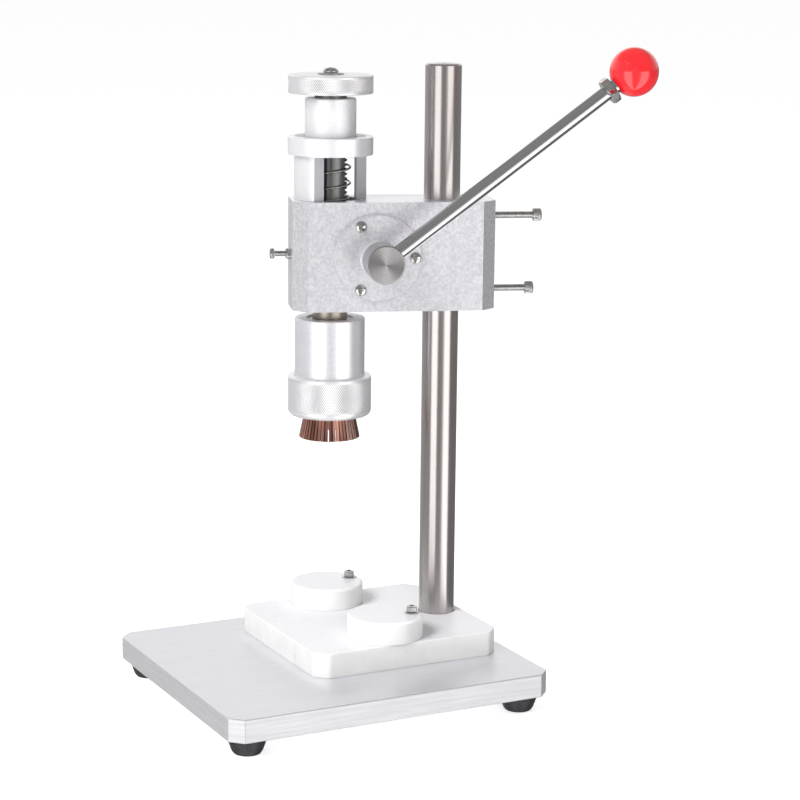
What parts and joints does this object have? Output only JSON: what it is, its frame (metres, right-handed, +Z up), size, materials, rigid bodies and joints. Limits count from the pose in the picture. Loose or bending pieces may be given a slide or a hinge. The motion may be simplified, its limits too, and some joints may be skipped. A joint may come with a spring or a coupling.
{
  "type": "bench crimping hand press",
  "caption": "Free-standing lever press: rack and pinion quill with a slit crimping collet, a head that slides and swings on a round column, and two eccentric locating discs.",
  "frame": {"origin": "on the floor plane, under the middle of the base plate", "axes": "+Z up; +Y towards the rear, where the column stands; +X to the operator's right"},
  "size_m": [0.21, 0.3193, 0.4463],
  "materials": {
    "blasted_aluminium": "bead blasted, clear anodised",
    "plate_aluminium": "fine brushed top, machined edges",
    "knurled_aluminium": "diamond knurled, bead blasted",
    "stainless": "ground bar with lengthwise polish",
    "turned_steel": "lathe turned",
    "nickel": "bright nickel plate",
    "black_steel": "black oxide",
    "gear_steel": "cut steel, oiled",
    "spring_steel": "dark oil tempered wire",
    "black_rubber": "matte moulded",
    "white_polymer": "milky, saw-cut sides and planed top",
    "red_ball": "glossy phenolic",
    "copper": "turned copper alloy",
    "brass": "turned bronze or brass",
    "nylon": "turned nylon"
  },
  "bodies": {
    "base": {"base_plate": "plate_aluminium", "rubber_feet": "black_rubber", "foot_screws": "nickel", "board_screws": "nickel", "work_board": "white_polymer", "left_locator_washer": "nickel", "right_locator_washer": "nickel", "left_locator_screw": "nickel", "right_locator_screw": "nickel"},
    "column": {"column": "stainless", "column_bolt": "nickel", "column_bolt_washer": "nickel"},
    "head": {"head_block": "blasted_aluminium", "lower_quill_bush": "brass", "upper_quill_bush": "brass", "rear_bush": "brass", "cover_bush": "brass", "shaft_cover": "blasted_aluminium", "cover_screws": "nickel", "spring_housing": "blasted_aluminium", "spring_seat_washer": "turned_steel", "return_spring": "spring_steel", "guide_screw": "nickel", "guide_lock_nut": "nickel"},
    "handle": {"pinion_gear": "gear_steel", "pinion_shaft": "turned_steel", "pinion_key": "gear_steel", "shaft_circlip": "black_steel", "handle_rod": "stainless", "rod_lock_nut": "nickel", "ball_knob": "red_ball"},
    "quill": {"quill": "black_steel", "quill_sleeve": "knurled_aluminium", "sleeve_set_screw": "black_steel", "crimp_head_body": "blasted_aluminium", "head_retaining_ring": "turned_steel"},
    "press_core": {"press_pad": "nylon"},
    "adjuster": {"adjuster_rod": "turned_steel", "adjuster_knob": "knurled_aluminium", "knob_washer": "nickel", "knob_screw": "nickel"},
    "collet": {"collet": "copper"},
    "collet_nut": {"collet_nut": "knurled_aluminium"},
    "upper_clamp_pad": {"upper_clamp_pad": "brass"},
    "upper_clamp_screw": {"upper_clamp_screw": "nickel"},
    "lower_clamp_pad": {"lower_clamp_pad": "brass"},
    "lower_clamp_screw": {"lower_clamp_screw": "nickel"},
    "left_disc": {"left_locator_disc": "white_polymer"},
    "right_disc": {"right_locator_disc": "white_polymer"}
  },
  "joints": [
    {"name": "column_swivel", "type": "hinge", "parent": "base", "child": "column", "pos_m": [-0.012, 0.0895, 0.023], "axis": [0, 0, 1], "continuous": true},
    {"name": "arm_slide", "type": "slide", "parent": "column", "child": "head", "axis": [0, 0, 1], "range_m": [-0.065, 0.08]},
    {"name": "handle_turn", "type": "hinge", "parent": "head", "child": "handle", "pos_m": [0.02556, 0.02684, 0.3025], "axis": [0.9483, -0.3173, 0], "range_deg": [0, 68.7]},
    {"name": "quill_slide", "type": "slide", "parent": "head", "child": "quill", "axis": [0, 0, -1], "range_m": [0, 0.024], "stiffness_N_per_m": 500, "springref_m": -0.06, "deforming": ["return_spring"]},
    {"name": "press_core_slide", "type": "slide", "parent": "quill", "child": "press_core", "axis": [0, 0, 1], "range_m": [0, 0.008]},
    {"name": "adjuster_turn", "type": "hinge", "parent": "press_core", "child": "adjuster", "pos_m": [-0.03659, 0.016, 0.418], "axis": [0, 0, 1], "range_deg": [0, 1920]},
    {"name": "collet_slide", "type": "slide", "parent": "quill", "child": "collet", "axis": [0, 0, -1], "range_m": [0, 0.006]},
    {"name": "collet_nut_turn", "type": "hinge", "parent": "collet", "child": "collet_nut", "pos_m": [-0.03659, 0.016, 0.203], "axis": [0, 0, -1], "range_deg": [0, 1440]},
    {"name": "upper_pad_slide", "type": "slide", "parent": "head", "child": "upper_clamp_pad", "axis": [0.3173, 0.9483, 0], "range_m": [0, 0.0024]},
    {"name": "upper_clamp_turn", "type": "hinge", "parent": "upper_clamp_pad", "child": "upper_clamp_screw", "pos_m": [0.00386, 0.13692, 0.328], "axis": [0.3173, 0.9483, 0], "range_deg": [0, 1080]},
    {"name": "lower_pad_slide", "type": "slide", "parent": "head", "child": "lower_clamp_pad", "axis": [0.3173, 0.9483, 0], "range_m": [0, 0.0024]},
    {"name": "lower_clamp_turn", "type": "hinge", "parent": "lower_clamp_pad", "child": "lower_clamp_screw", "pos_m": [0.00386, 0.13692, 0.277], "axis": [0.3173, 0.9483, 0], "range_deg": [0, 1080]},
    {"name": "left_disc_turn", "type": "hinge", "parent": "base", "child": "left_disc", "pos_m": [-0.0645, 0.0455, 0.05], "axis": [0, 0, 1], "continuous": true},
    {"name": "right_disc_turn", "type": "hinge", "parent": "base", "child": "right_disc", "pos_m": [0.0345, 0.0455, 0.05], "axis": [0, 0, 1], "continuous": true}
  ],
  "couplings": [
    {"joint": "quill_slide", "follows": "handle_turn", "m_per_rad": 0.02},
    {"joint": "adjuster_turn", "follows": "press_core_slide", "rad_per_m": 4188.8},
    {"joint": "collet_nut_turn", "follows": "collet_slide", "rad_per_m": 4188.8},
    {"joint": "upper_clamp_turn", "follows": "upper_pad_slide", "rad_per_m": 7854},
    {"joint": "lower_clamp_turn", "follows": "lower_pad_slide", "rad_per_m": 7854}
  ]
}
